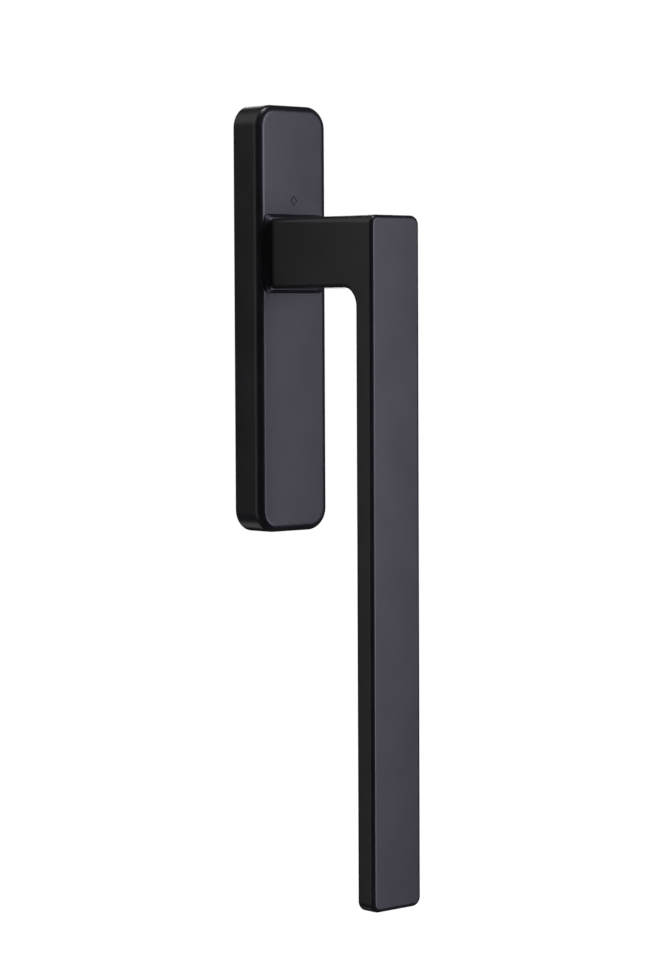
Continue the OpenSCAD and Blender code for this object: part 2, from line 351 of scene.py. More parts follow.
@dataclass(frozen=True)
class MouldedPlastic(Finish):
    """Off-white bearing plastic with faint flow shades and a fine moulded grain."""

    name: str = "moulded_bearing_plastic"
    slot: str = "bush_plastic"
    colour: Colour = (0.66, 0.64, 0.56)
    roughness: float = 0.42
    cloud: Grain = Grain(0.08, 2)
    dark: Colour = (0.9, 0.9, 0.9)
    sheen: tuple[Grain, ...] = (cloud,)
    shifts: Span = (-0.05, 0.08)
    reliefs: tuple[Relief, ...] = (Relief(Grain(2.6, 2), 0.2, 0.015),)


@dataclass(frozen=True)
class Rubber(Finish):
    """Dull black rubber with a pale bloom."""

    name: str = "dull_black_rubber"
    slot: str = "rubber"
    colour: Colour = (0.022, 0.021, 0.02)
    roughness: float = 0.74
    cloud: Grain = Grain(0.3, 4)
    light: Colour = (2.1, 2.1, 2.1)
    sheen: tuple[Grain, ...] = (cloud,)
    shifts: Span = (-0.08, 0.1)
    reliefs: tuple[Relief, ...] = (Relief(Grain(4, 2), 0.4, 0.02),)


# --- mesh making


@dataclass(frozen=True)
class Panel:
    """Upright rectangle with round corners, seen from the front."""

    left: float
    right: float
    bottom: float
    top: float
    corner: float
    steps: int = 14

    def corner_arc(self, number: int, inset: float, depth: float) -> list[Vector]:
        """Points round one corner, anticlockwise seen from the front.

        Args:
            number: 0 is the top right corner, 1 top left, 2 bottom left, 3 bottom right.
            inset: How far inside the outline they lie.
            depth: How far in front of the door face they lie.

        Returns:
            The points.
        """
        radius = max(self.corner - inset, WELD * 4)
        side = inset + radius
        x = self.right - side if number in (0, 3) else self.left + side
        z = self.top - side if number in (0, 1) else self.bottom + side
        return [Vector((x + radius * math.cos(a), -depth, z + radius * math.sin(a)))
                for a in quarter_turn(self.steps, number)]

    def ring(self, inset: float, depth: float) -> list[Vector]:
        """The whole outline as a closed ring of points, anticlockwise too."""
        return [p for number in range(4) for p in self.corner_arc(number, inset, depth)]


@dataclass(frozen=True)
class Station:
    """One ring of a turned piece."""

    along: float
    radius: float
    section: Section = Section.ROUND

    def ring(self, around: int) -> list[Vector]:
        """Points of the ring, about local Z.

        Args:
            around: How many points it has.

        Returns:
            The points.
        """
        points = []
        for i in range(around):
            angle = math.tau * i / around
            radius = self.radius
            if self.section is Section.HEXAGON:
                sixth = math.pi / 3
                radius *= math.cos(sixth / 2) / math.cos(angle % sixth - sixth / 2)
            points.append(Vector((radius * math.cos(angle), radius * math.sin(angle), self.along)))
        return points


def quarter_turn(steps: int, start: int = 0) -> list[float]:
    """Angles of a quarter turn in even steps, so many quarters on from zero."""
    return [math.pi / 2 * (start + i / steps) for i in range(steps + 1)]


def mesh_of_faces(name: str, faces: list[list[Vector]]) -> bpy.types.Mesh:
    """Makes a closed mesh of faces that are given one by one.

    Args:
        name: The mesh's name.
        faces: The corners of each face.

    Returns:
        The mesh, welded, with its faces outwards.
    """
    shape = bmesh.new()
    for corners in faces:
        shape.faces.new([shape.verts.new(p) for p in corners])
    bmesh.ops.remove_doubles(shape, verts=shape.verts, dist=WELD)
    bmesh.ops.dissolve_degenerate(shape, edges=shape.edges, dist=WELD)
    bmesh.ops.recalc_face_normals(shape, faces=shape.faces)
    mesh = bpy.data.meshes.new(name)
    shape.to_mesh(mesh)
    shape.free()
    return mesh


def loft(name: str, rings: list[list[Vector]], joined: bool = False) -> bpy.types.Mesh:
    """Skins a row of rings that have as many points each.

    Args:
        name: The mesh's name.
        rings: The rings, in order.
        joined: The last ring runs on into the first. If not, both get a cap.

    Returns:
        The closed mesh.
    """
    faces = [] if joined else [rings[0], rings[-1]]
    following = rings[1:] + rings[:1] if joined else rings[1:]
    for here, there in zip(rings, following):
        count = len(here)
        for i in range(count):
            j = (i + 1) % count
            faces.append([here[i], here[j], there[j], there[i]])
    return mesh_of_faces(name, faces)


def place(name: str, mesh: bpy.types.Mesh) -> bpy.types.Object:
    """Puts a mesh in the scene as an object at the origin.

    Args:
        name: The object's name.
        mesh: Its mesh.

    Returns:
        The object.
    """
    made = bpy.data.objects.new(name, mesh)
    bpy.context.scene.collection.objects.link(made)
    return made


def settle(piece: bpy.types.Object) -> None:
    """Turns a piece's live modifiers into its own plain mesh.

    Args:
        piece: The object.
    """
    bpy.context.view_layer.update()
    view = bpy.context.evaluated_depsgraph_get()
    mesh = bpy.data.meshes.new_from_object(piece.evaluated_get(view))
    piece.modifiers.clear()
    old = piece.data
    piece.data = mesh
    bpy.data.meshes.remove(old)
    mesh.name = piece.name


def combine(piece: bpy.types.Object, tool: bpy.types.Mesh, how: Cut) -> None:
    """Cuts one closed mesh out of a piece, or joins it on.

    Args:
        piece: The object that changes.
        tool: The other closed mesh, which is used up.
        how: What happens.
    """
    other = place("tool", tool)
    modifier = piece.modifiers.new("combine", "BOOLEAN")
    modifier.operation = how.value
    modifier.solver = "EXACT"
    modifier.object = other
    settle(piece)
    bpy.data.objects.remove(other)


def soften(piece: bpy.types.Object, sharp_over: float = 32) -> None:
    """Shades a piece smooth, with its flat faces truly flat.

    Args:
        piece: The object.
        sharp_over: Edges turned by more degrees than this stay crisp.
    """
    mesh = piece.data
    mesh.polygons.foreach_set("use_smooth", [True] * len(mesh.polygons))
    mesh.set_sharp_from_angle(angle=math.radians(sharp_over))
    modifier = piece.modifiers.new("flat faces", "WEIGHTED_NORMAL")
    modifier.keep_sharp = True
    modifier.weight = 100
    settle(piece)


def round_edges(mesh: bpy.types.Mesh, radius: float, segments: int, over: float,
                wanted: Callable[[bmesh.types.BMEdge], bool] = lambda edge: True) -> None:
    """Rounds a mesh's sharp edges.

    Args:
        mesh: The mesh that changes.
        radius: Radius of the rounding.
        segments: How many faces it has across.
        over: Only edges turned by more degrees than this.
        wanted: A test that an edge has to pass too.
    """
    shape = bmesh.new()
    shape.from_mesh(mesh)
    edges = [e for e in shape.edges
             if len(e.link_faces) == 2
             and e.calc_face_angle() > math.radians(over)
             and wanted(e)]
    bmesh.ops.bevel(shape, geom=edges, offset=radius, offset_type="OFFSET", segments=segments,
                    profile=0.5, affect="EDGES", clamp_overlap=False)
    bmesh.ops.recalc_face_normals(shape, faces=shape.faces)
    shape.to_mesh(mesh)
    shape.free()


def middle(node: str) -> Vector:
    """Middle of a frame node's box."""
    low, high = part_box(node)
    return (low + high) / 2


def facing_out(height: float = 0) -> Matrix:
    """Place, at a height, of a local frame whose Z points out of the door."""
    return Matrix.Translation((0, 0, height)) @ Matrix.Rotation(math.pi / 2, 4, "X")


def bar(low: Vector, high: Vector) -> bpy.types.Mesh:
    """A block between two corners, as a tool.

    Args:
        low: Its lowest corner.
        high: Its highest corner.

    Returns:
        The mesh.
    """
    back = [Vector((x, high.y, z)) for x, z in
            ((low.x, low.z), (high.x, low.z), (high.x, high.z), (low.x, high.z))]
    front = [Vector((p.x, low.y, p.z)) for p in back]
    return loft("block", [back, front])


def turned(name: str, stations: list[Station], around: int, where: Matrix = Matrix(),
           joined: bool = False) -> bpy.types.Mesh:
    """Skins a turned piece's stations.

    Args:
        name: The mesh's name.
        stations: Its rings in order.
        around: How many points each has.
        where: Place of the local frame that it is turned in.
        joined: The last ring runs on into the first.

    Returns:
        The closed mesh.
    """
    mesh = loft(name, [s.ring(around) for s in stations], joined)
    mesh.transform(where)
    return mesh


def dress(piece: bpy.types.Object, finish: Finish, body: Body, *nodes: str) -> None:
    """Gives a finished piece its material and its body, and hides the frame's nodes that it stands
    for.

    Args:
        piece: The object.
        finish: Its surface finish.
        body: The body that it moves with.
        *nodes: Names of the frame's nodes that it replaces.
    """
    piece.data.materials.clear()
    piece.data.materials.append(finish.material())
    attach(piece, body.value)
    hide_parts(*nodes)
    LOG.info("%s: %d faces, %s, on %s", piece.name, len(piece.data.polygons), finish.name,
             body.value)


# --- geometry nodes


class RuleTree:
    """A Geometry Nodes tree with named inputs, which ends in a plain mesh."""

    def __init__(self, name: str, *sizes: str) -> None:
        """Starts the tree.

        Args:
            name: The tree's name.
            *sizes: Names of its number inputs.
        """
        self.group = bpy.data.node_groups.new(name, "GeometryNodeTree")
        self.write = TreeWriter(self.group)
        kinds = {"Geometry": "NodeSocketGeometry", "Material": "NodeSocketMaterial"}
        for socket in ("Geometry", *sizes, "Material"):
            self.group.interface.new_socket(socket, in_out="INPUT",
                                            socket_type=kinds.get(socket, "NodeSocketFloat"))
        self.group.interface.new_socket("Geometry", in_out="OUTPUT",
                                        socket_type=kinds["Geometry"])
        self.inputs = self.write.add("NodeGroupInput").outputs

    def spot(self) -> list[bpy.types.NodeSocket]:
        """The point's X, Y and Z."""
        here = self.write.add("GeometryNodeInputPosition")
        return list(self.write.add("ShaderNodeSeparateXYZ", {0: here}).outputs)

    def move(self, offset: bpy.types.Node) -> bpy.types.GeometryNodeTree:
        """Moves the points by an offset each and ends the tree."""
        return self.close(self.write.add("GeometryNodeSetPosition", {
            "Geometry": self.inputs["Geometry"], "Offset": offset}))

    def close(self, geometry: bpy.types.Node) -> bpy.types.GeometryNodeTree:
        """Ends the tree in Realize Instances and Set Material.

        Args:
            geometry: What the tree has made.

        Returns:
            The tree.
        """
        real = self.write.add("GeometryNodeRealizeInstances", {0: geometry})
        painted = self.write.add("GeometryNodeSetMaterial", {
            "Geometry": real, "Material": self.inputs["Material"]})
        self.write.add("NodeGroupOutput", {0: painted})
        return self.group


def run_tree(piece: bpy.types.Object, tree: bpy.types.GeometryNodeTree,
             values: dict[str, object]) -> None:
    """Runs a tree on a piece once and keeps the plain result.

    Args:
        piece: The object.
        tree: The tree.
        values: The tree's inputs, by name.
    """
    modifier = piece.modifiers.new(tree.name, "NODES")
    modifier.node_group = tree
    for item in tree.interface.items_tree:
        if item.in_out == "INPUT" and item.name in values:
            modifier[item.identifier] = values[item.name]
    settle(piece)


def thread_tree() -> bpy.types.GeometryNodeTree:
    """Tree that cuts a screw thread into a plain shank about local Z.

    Returns:
        The tree.
    """
    crest, root = 0.12, 0.8  # shares of half a pitch where the groove starts and is deepest
    rule = RuleTree("cut_thread", "Pitch", "Depth", "Start", "End", "Run Out")
    write, given = rule.write, rule.inputs
    x, y, z = rule.spot()
    turn = write.math("DIVIDE", write.math("ARCTAN2", y, x), math.tau)
    phase = write.math("FRACT", write.math("SUBTRACT", write.math("DIVIDE", z, given["Pitch"]), turn))
    flank = write.math("ABSOLUTE", write.math("MULTIPLY_ADD", phase, 2.0, -1.0))
    groove = write.span(flank, crest, root, 0.0, 1.0)
    full_from = write.math("ADD", given["Start"], given["Run Out"])
    full_to = write.math("SUBTRACT", given["End"], given["Run Out"])
    into = write.span(z, given["Start"], full_from, 0.0, 1.0)
    out = write.span(z, full_to, given["End"], 1.0, 0.0)
    deep = write.math("MULTIPLY", write.math("MULTIPLY", into, out),
                      write.math("MULTIPLY", groove, given["Depth"]))
    radial = write.add("ShaderNodeCombineXYZ", {0: x, 1: y})
    outwards = write.add("ShaderNodeVectorMath", {0: radial}, operation="NORMALIZE")
    inwards = write.math("MULTIPLY", deep, -1.0)
    return rule.move(write.add("ShaderNodeVectorMath", {0: outwards, "Scale": inwards},
                               operation="SCALE"))


def wave_tree() -> bpy.types.GeometryNodeTree:
    """Tree that bends a flat ring about local Z into even waves.

    Returns:
        The tree.
    """
    rule = RuleTree("wave_ring", "Waves", "Height")
    write, given = rule.write, rule.inputs
    x, y, _ = rule.spot()
    turn = write.math("MULTIPLY", write.math("ARCTAN2", y, x), given["Waves"])
    rise = write.math("MULTIPLY", write.math("SINE", turn), given["Height"])
    return rule.move(write.add("ShaderNodeCombineXYZ", {2: rise}))


def dimple_tree() -> bpy.types.GeometryNodeTree:
    """Tree that sinks a grid of shallow round marks into a face square to Y.

    Returns:
        The tree.
    """
    columns, rows, around = 2, 3, 48
    rule = RuleTree("sink_dimples", "Columns Wide", "Rows High", "Radius", "Depth", "Face", "Middle")
    write, given = rule.write, rule.inputs
    grid = write.add("GeometryNodeMeshGrid", {
        "Vertices X": columns, "Vertices Y": rows,
        "Size X": given["Columns Wide"], "Size Y": given["Rows High"]})
    pin = write.add("GeometryNodeMeshCylinder", {
        "Vertices": around, "Radius": given["Radius"],
        "Depth": write.math("MULTIPLY", given["Depth"], 2.0)})
    pins = write.add("GeometryNodeInstanceOnPoints", {"Points": grid, "Instance": pin})
    real = write.add("GeometryNodeRealizeInstances", {0: pins})
    spot = write.add("ShaderNodeCombineXYZ", {1: given["Face"], 2: given["Middle"]})
    put = write.add("GeometryNodeTransform", {
        "Geometry": real, "Translation": spot, "Rotation": (math.pi / 2, 0, 0)})
    return rule.close(write.add("GeometryNodeMeshBoolean", {0: given["Geometry"], 1: put},
                                operation="DIFFERENCE", solver="EXACT"))


# --- the handle


@dataclass
class EasedPart:
    """A piece in the form that the frame gives it, with its sharp edges eased."""

    node: str
    made: str
    body: Body
    radius: float
    segments: int = 2
    flat_within: float = 0.4
    sharp_over: float = 35
    crisp_over: float = 50

    def build(self, finish: Finish) -> None:
        """Copies the form, eases it and dresses it.

        Args:
            finish: Its surface finish.
        """
        piece = place(f"{self.node}_{self.made}", self.eased())
        self.detail(piece, finish)
        soften(piece, self.crisp_over)
        dress(piece, finish, self.body, self.node)

    def eased(self) -> bpy.types.Mesh:
        """The form with its edges eased, before it is shaded.

        Returns:
            The mesh.
        """
        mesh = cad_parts[self.node].data.copy()
        mesh.materials.clear()
        shape = bmesh.new()
        shape.from_mesh(mesh)
        bmesh.ops.remove_doubles(shape, verts=shape.verts, dist=WELD)
        bmesh.ops.dissolve_limit(shape, angle_limit=math.radians(self.flat_within),
                                 verts=shape.verts, edges=shape.edges)
        shape.to_mesh(mesh)
        shape.free()
        round_edges(mesh, self.radius, self.segments, self.sharp_over)
        return mesh

    def detail(self, piece: bpy.types.Object, finish: Finish) -> None:
        """Adds what the frame's form leaves out. Most pieces need nothing."""


@dataclass
class BasePlate(EasedPart):
    """Die-cast base plate with soft edges and ejector marks on its back."""

    node: str = "base_plate"
    made: str = "cast"
    body: Body = Body.BASE
    radius: float = 0.25 * MM
    mark_columns: float = 23 * MM
    mark_rows: float = 152 * MM
    mark_middle: float = -24 * MM
    mark_radius: float = 2 * MM
    mark_deep: float = 0.3 * MM

    def detail(self, piece: bpy.types.Object, finish: Finish) -> None:
        """Sinks the ejector marks."""
        run_tree(piece, dimple_tree(), {
            "Columns Wide": self.mark_columns, "Rows High": self.mark_rows,
            "Radius": self.mark_radius, "Depth": self.mark_deep,
            "Face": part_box(self.node)[1].y, "Middle": self.mark_middle,
            "Material": finish.material()})


@dataclass
class CoverPlate:
    """Pressed cover plate: an open-backed shell with a hole for the hub."""

    wall: float = 1.8 * MM
    corner: float = 9.5 * MM
    edge: float = 3.3 * MM
    inner_edge: float = 1 * MM
    lip: float = 0.2 * MM
    hole_radius: float = 13.5 * MM
    mark_sides: int = 4
    mark_radius: float = 2.2 * MM
    mark_line: float = 0.5 * MM
    mark_depth: float = 0.3 * MM
    mark_height: float = 22.5 * MM
    bead_out: float = 0.55 * MM
    bead_back: float = 3.2 * MM
    bead_thick: float = 1.2 * MM
    round_steps: int = 12
    hole_around: int = 96

    def build(self, coat: Finish) -> None:
        """Builds the shell, cuts it and dresses it.

        Args:
            coat: Its surface finish.
        """
        piece = place("cover_plate_shell", self.shell())
        combine(piece, self.hub_hole(), Cut.AWAY)
        combine(piece, self.mark(), Cut.AWAY)
        for clip in CLIPS:
            combine(piece, self.bead(clip), Cut.JOIN)
        soften(piece)
        dress(piece, coat, Body.BASE, "cover_plate")

    def shell(self) -> bpy.types.Mesh:
        """Skins the shell from the inside of its front, round its rim, to its outside.

        Returns:
            The closed mesh.
        """
        low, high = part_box("cover_plate")
        outline = Panel(low.x, high.x, low.z, high.z, self.corner)
        depth = -low.y
        inner = depth - self.wall
        quarter = quarter_turn(self.round_steps)
        e, r, w = self.inner_edge, self.edge, self.wall
        profile = [(w + e + self.lip, inner)]
        profile += [(w + e * (1 - math.sin(a)), inner - e * (1 - math.cos(a))) for a in quarter]
        profile += [(w, self.lip), (w - self.lip, 0), (self.lip, 0), (0, self.lip)]
        profile += [(r * (1 - math.cos(a)), depth - r * (1 - math.sin(a))) for a in quarter]
        profile += [(r + self.lip, depth)]
        return loft("shell", [outline.ring(inset, d) for inset, d in profile])

    def hub_hole(self) -> bpy.types.Mesh:
        """Tool for the round hole in the front, with a broken edge.

        Returns:
            The closed mesh.
        """
        depth = -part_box("cover_plate")[0].y
        inner = depth - self.wall
        stations = [Station(inner - self.wall, self.hole_radius),
                    Station(depth - self.lip, self.hole_radius),
                    Station(depth + self.wall, self.hole_radius + self.wall + self.lip)]
        return turned("hub hole", stations, self.hole_around, facing_out())

    def mark(self) -> bpy.types.Mesh:
        """Tool for the plain diamond that is engraved above the neck.

        Returns:
            The closed mesh.
        """
        depth = -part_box("cover_plate")[0].y
        floor = depth - self.mark_depth
        slope = self.mark_line / 3
        inner = self.mark_radius - 2 * self.mark_line
        stations = [Station(depth + slope, self.mark_radius), Station(floor, self.mark_radius - slope),
                    Station(floor, inner + slope), Station(depth + slope, inner)]
        return turned("mark", stations, self.mark_sides, facing_out(self.mark_height), joined=True)

    def bead(self, clip: str) -> bpy.types.Mesh:
        """Ridge inside the wall that a clip snaps behind.

        Args:
            clip: The clip's node.

        Returns:
            The closed mesh.
        """
        low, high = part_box(clip)
        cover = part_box("cover_plate")
        side = 1 if low.x > 0 else -1
        face = (cover[1].x if side > 0 else cover[0].x) - side * self.wall
        profile = [(face + side * self.lip, self.bead_back),
                   (face - side * self.bead_out, self.bead_back + self.bead_thick / 3),
                   (face - side * self.bead_out, self.bead_back + self.bead_thick * 2 / 3),
                   (face + side * self.lip, self.bead_back + self.bead_thick)]
        return loft("bead", [[Vector((x, -d, z)) for x, d in profile] for z in (low.z, high.z)])


@dataclass
class Lever:
    """Solid flat bar lever: the square neck and the hanging grip."""

    grip_thick: float = 10 * MM
    grip_corner: float = 4 * MM
    edge: float = 1.8 * MM
    bend: float = 8 * MM
    socket: float = 13.1 * MM
    socket_deep: float = 20 * MM
    screw_hole: float = 3 * MM
    hole_chamfer: float = 0.4 * MM
    bend_steps: int = 18
    corner_steps: int = 10
    hole_around: int = 64
    edge_segments: int = 9
    sharp_over: float = 60
    low: Vector = field(default_factory=lambda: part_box("lever")[0])
    high: Vector = field(default_factory=lambda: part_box("lever")[1])

    @property
    def neck_low(self) -> float:
        """Height of the neck's underside, as far under the spindle axis as its top is over it."""
        return -self.high.z

    def build(self, coat: Finish) -> None:
        """Builds the bar, rounds it, cuts its holes and dresses it.

        Args:
            coat: Its surface finish.
        """
        mesh = self.bar_shape()
        root = self.high.y
        round_edges(mesh, self.edge, self.edge_segments, self.sharp_over,
                    lambda e: any(v.co.y < root - WELD for v in e.verts))
        piece = place("lever_bar", mesh)
        combine(piece, self.nose_socket(), Cut.AWAY)
        combine(piece, self.set_screw_hole(), Cut.AWAY)
        soften(piece)
        dress(piece, coat, Body.LEVER, "lever")

    def bar_shape(self) -> bpy.types.Mesh:
        """The bar before its long edges are rounded.

        Returns:
            The closed mesh.
        """
        low, high, steps = self.low, self.high, self.corner_steps
        front, root = -low.y, -high.y
        back = front - self.grip_thick
        grip = Panel(low.x, high.x, low.z, high.z, self.grip_corner, steps)
        neck = Panel(low.x, high.x, self.neck_low, high.z, self.edge, steps)
        fore = [grip.corner_arc(number, 0, front) for number in range(4)]
        rear = [grip.corner_arc(number, 0, back) for number in range(4)]
        base = [neck.corner_arc(number, 0, root) for number in range(2)]
        bend_left, bend_right = (self.inner_bend(x, back) for x in (low.x, high.x))
        root_left, root_right = (Vector((x, -root, self.neck_low)) for x in (low.x, high.x))
        faces = [grip.ring(0, front)]
        for here, there in zip((base[0], base[1], rear[2], rear[3]), fore):
            faces += self.strip(here, there)
        faces.append([base[0][-1], base[1][0], fore[1][0], fore[0][-1]])
        faces.append([rear[2][-1], rear[3][0], fore[3][0], fore[2][-1]])
        faces += self.strip([root_left, *bend_left], [root_right, *bend_right])
        faces.append([bend_left[-1], *rear[2], *rear[3], bend_right[-1]])
        faces.append([*base[0], *base[1], root_left, root_right])
        faces.append([root_left, *bend_left, rear[2][0], fore[2][0], fore[1][-1], base[1][-1]])
        faces.append([root_right, *bend_right, rear[3][-1], fore[3][-1], fore[0][0], base[0][0]])
        return mesh_of_faces("bar", faces)

    def inner_bend(self, x: float, back: float) -> list[Vector]:
        """Points of the bend at one side, from the neck's underside to the grip's back."""
        return [Vector((x, -(back - self.bend + self.bend * math.sin(a)),
                        self.neck_low - self.bend + self.bend * math.cos(a)))
                for a in quarter_turn(self.bend_steps)]

    def strip(self, here: list[Vector], there: list[Vector]) -> list[list[Vector]]:
        """Corners of the faces between two rows of as many points."""
        return [[here[i], here[i + 1], there[i + 1], there[i]] for i in range(len(here) - 1)]

    def nose_socket(self) -> bpy.types.Mesh:
        """Tool for the square socket that the hub's nose sits in.

        Returns:
            The closed mesh.
        """
        half = self.socket / 2
        root = self.high.y
        return bar(Vector((-half, root - self.socket_deep, -half)), Vector((half, root + MM, half)))

    def set_screw_hole(self) -> bpy.types.Mesh:
        """Tool for the set screw's hole, with a chamfered mouth.

        Returns:
            The closed mesh.
        """
        r, c = self.screw_hole, self.hole_chamfer
        mouth = self.neck_low
        stations = [Station(mouth - MM, r + c + MM), Station(mouth + c, r), Station(0, r)]
        where = Matrix.Translation((0, middle("set_screw").y, 0))
        return turned("screw hole", stations, self.hole_around, where)


@dataclass
class NeckCollar:
    """Thin square collar round the root of the neck, sloping away from it on all sides."""

    corner: float = 2.6 * MM
    slope_deep: float = 0.8 * MM
    flat: float = 0.4 * MM
    crease: float = 0.1
    gap: float = 0.05 * MM
    neck_corner: float = 1.8 * MM
    crease_steps: int = 4
    crisp_over: float = 25

    def build(self, coat: Finish) -> None:
        """Skins the collar and dresses it.

        Args:
            coat: Its surface finish.
        """
        low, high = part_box("neck_collar")
        back, front = -high.y, -low.y
        outer = Panel(low.x, high.x, low.z, high.z, self.corner)
        bore = self.round_neck(self.gap)
        rim = outer.ring(0, front - self.slope_deep)
        rings = [bore.ring(0, back), outer.ring(0, back), rim]
        rings += self.crease_rings(rim, self.round_neck(self.flat).ring(0, front),
                                   bore.ring(0, front))
        rings.append(bore.ring(0, front))
        piece = place("neck_collar_ring", loft("collar", rings, joined=True))
        soften(piece, self.crisp_over)
        dress(piece, coat, Body.LEVER, "neck_collar")

    def round_neck(self, clear: float) -> Panel:
        """Outline that runs round the neck, clear of it by so much."""
        low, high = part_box("lever")
        return Panel(low.x - clear, high.x + clear, -high.z - clear, high.z + clear,
                     self.neck_corner + clear)

    def crease_rings(self, rim: list[Vector], edge: list[Vector],
                     bore: list[Vector]) -> list[list[Vector]]:
        """Rings that ease the slope into the flat strip.

        Args:
            rim: The slope's outer ring.
            edge: The ring where slope and strip would meet.
            bore: The strip's inner ring.

        Returns:
            The rings, from the slope to the strip.
        """
        rings = []
        for step in range(self.crease_steps + 1):
            t = step / self.crease_steps
            ring = []
            for outer, bent, inner in zip(rim, edge, bore):
                start, end = bent.lerp(outer, self.crease), bent.lerp(inner, 0.5)
                ring.append(start.lerp(bent, t).lerp(bent.lerp(end, t), t))
            rings.append(ring)
        return rings


@dataclass
class ThreadedScrew:
    """What the handle's screws share: a cut thread and a hexagon socket."""

    thread: bpy.types.GeometryNodeTree
    body: Body
    pitch: float
    thread_deep: float
    socket: float
    socket_deep: float
    rows_per_turn: int = 10
    around: int = 48
    crisp_over: float = 40

    def shank(self, start: float, end: float, radius: float) -> list[Station]:
        """Close, even rings for the thread to be cut into."""
        count = round((end - start) / self.pitch * self.rows_per_turn)
        return [Station(start + (end - start) * i / count, radius) for i in range(count + 1)]

    def make(self, node: str, stations: list[Station], threaded: dict[str, float], where: Matrix,
             finish: Finish) -> None:
        """Turns, threads, places and dresses one screw.

        Args:
            node: The frame's node that it stands for.
            stations: Its rings.
            threaded: Start, end and run out of the thread, by the tree's names.
            where: Its place.
            finish: Its surface finish.
        """
        piece = place(f"{node}_threaded", turned("screw", stations, self.around))
        run_tree(piece, self.thread, {"Pitch": self.pitch, "Depth": self.thread_deep,
                                      "Material": finish.material(), **threaded})
        piece.data.transform(where)
        soften(piece, self.crisp_over)
        dress(piece, finish, self.body, node)


@dataclass
class FixingScrews(ThreadedScrew):
    """The two countersunk screws that fix the base plate."""

    body: Body = Body.BASE
    pitch: float = 1 * MM
    thread_deep: float = 0.6 * MM
    socket: float = 2.31 * MM
    socket_deep: float = 2.4 * MM
    nodes: tuple[str, ...] = ("screw_upper", "screw_lower")
    radius: float = 3 * MM
    shank_radius: float = 2.67 * MM
    tip: float = 0.75 * MM
    head_high: float = 3 * MM
    head_edge: float = 0.15 * MM

    def build(self, finish: Finish) -> None:
        """Makes each screw.

        Args:
            finish: Their surface finish.
        """
        for node in self.nodes:
            low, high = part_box(node)
            stations = self.rings(-high.y, -low.y, (high.x - low.x) / 2)
            threaded = {"Start": -high.y + self.tip / 2, "End": -self.tip, "Run Out": self.pitch}
            self.make(node, stations, threaded, facing_out(middle(node).z), finish)

    def rings(self, back: float, front: float, head: float) -> list[Station]:
        """The screw's rings before its thread is cut.

        Args:
            back: Depth of the tip, which is negative behind the door face.
            front: Depth of the head's face.
            head: Radius of the head.

        Returns:
            The rings, from the tip to the bottom of the socket.
        """
        cone, edge = front - self.head_high, self.head_edge
        plain = self.shank_radius
        return [
            Station(back, self.radius - self.tip),
            *self.shank(back + self.tip, -self.tip, self.radius),
            Station(-self.tip + self.tip / 3, plain), Station(cone - self.tip / 3, plain),
            Station(cone, self.radius), Station(front - edge, head - edge),
            Station(front, head - 2 * edge),
            Station(front, self.socket + edge, Section.HEXAGON),
            Station(front - edge, self.socket, Section.HEXAGON),
            Station(front - self.socket_deep, self.socket, Section.HEXAGON)]


@dataclass
class SetScrew(ThreadedScrew):
    """Headless screw in the underside of the neck."""

    body: Body = Body.LEVER
    pitch: float = 1 * MM
    thread_deep: float = 0.55 * MM
    socket: float = 1.74 * MM
    socket_deep: float = 2.6 * MM
    node: str = "set_screw"
    chamfer: float = 0.45 * MM
    point: float = 0.8 * MM
    point_radius: float = 1.8 * MM

    def build(self, finish: Finish) -> None:
        """Makes the screw.

        Args:
            finish: Its surface finish.
        """
        low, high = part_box(self.node)
        length, radius = high.z - low.z, (high.x - low.x) / 2
        start, end = self.chamfer, length - self.point
        stations = [Station(self.socket_deep, self.socket, Section.HEXAGON),
                    Station(start / 3, self.socket, Section.HEXAGON),
                    Station(0, self.socket + start / 3, Section.HEXAGON),
                    Station(0, radius - start),
                    *self.shank(start, end, radius), Station(length, self.point_radius)]
        threaded = {"Start": start, "End": end, "Run Out": self.pitch / 2}
        where = Matrix.Translation((0, middle(self.node).y, low.z))
        self.make(self.node, stations, threaded, where, finish)


@dataclass
class SpringWasher:
    """Wave washer behind the base plate that takes up the hub's play."""

    node: str = "spring_washer"
    thick: float = 0.35 * MM
    bore: float = 10.1 * MM
    waves: int = 3
    edge: float = 0.06 * MM
    around: int = 144

    def build(self, finish: Finish) -> None:
        """Turns the flat ring, waves it and dresses it.

        Args:
            finish: Its surface finish.
        """
        low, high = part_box(self.node)
        radius = (high.x - low.x) / 2
        rise = (high.y - low.y - self.thick) / 2
        half, e = self.thick / 2, self.edge
        profile = [(-half, self.bore + e), (-half, radius - e), (e - half, radius),
                   (half - e, radius), (half, radius - e), (half, self.bore + e),
                   (half - e, self.bore), (e - half, self.bore)]
        stations = [Station(z, r) for z, r in profile]
        piece = place("spring_washer_waved", turned("washer", stations, self.around, joined=True))
        run_tree(piece, wave_tree(), {"Waves": float(self.waves), "Height": rise,
                                      "Material": finish.material()})
        depth = -middle(self.node).y
        piece.data.transform(facing_out() @ Matrix.Translation((0, 0, depth)))
        soften(piece)
        dress(piece, finish, Body.LEVER, self.node)


# --- studio


@dataclass
class Softbox:
    """A soft rectangular studio lamp that points at the handle."""

    name: str
    azimuth: float
    height: float
    distance: float
    width: float
    tall: float
    power: float
    tint: Colour = (1, 1, 1)

    def hang(self, aim: Vector) -> None:
        """Hangs the lamp.

        Args:
            aim: The point that it points at.
        """
        lamp = bpy.data.lights.new(self.name, "AREA")
        lamp.shape = "RECTANGLE"
        lamp.size, lamp.size_y = self.width, self.tall
        lamp.energy = self.power
        lamp.color = self.tint
        holder = bpy.data.objects.new(self.name, lamp)
        turn = math.radians(self.azimuth)
        side = Vector((math.sin(turn), -math.cos(turn), 0)) * self.distance
        holder.location = aim + side + Vector((0, 0, self.height))
        holder.visible_camera = False
        holder.rotation_euler = (aim - holder.location).to_track_quat("-Z", "Y").to_euler()
        bpy.context.scene.collection.objects.link(holder)


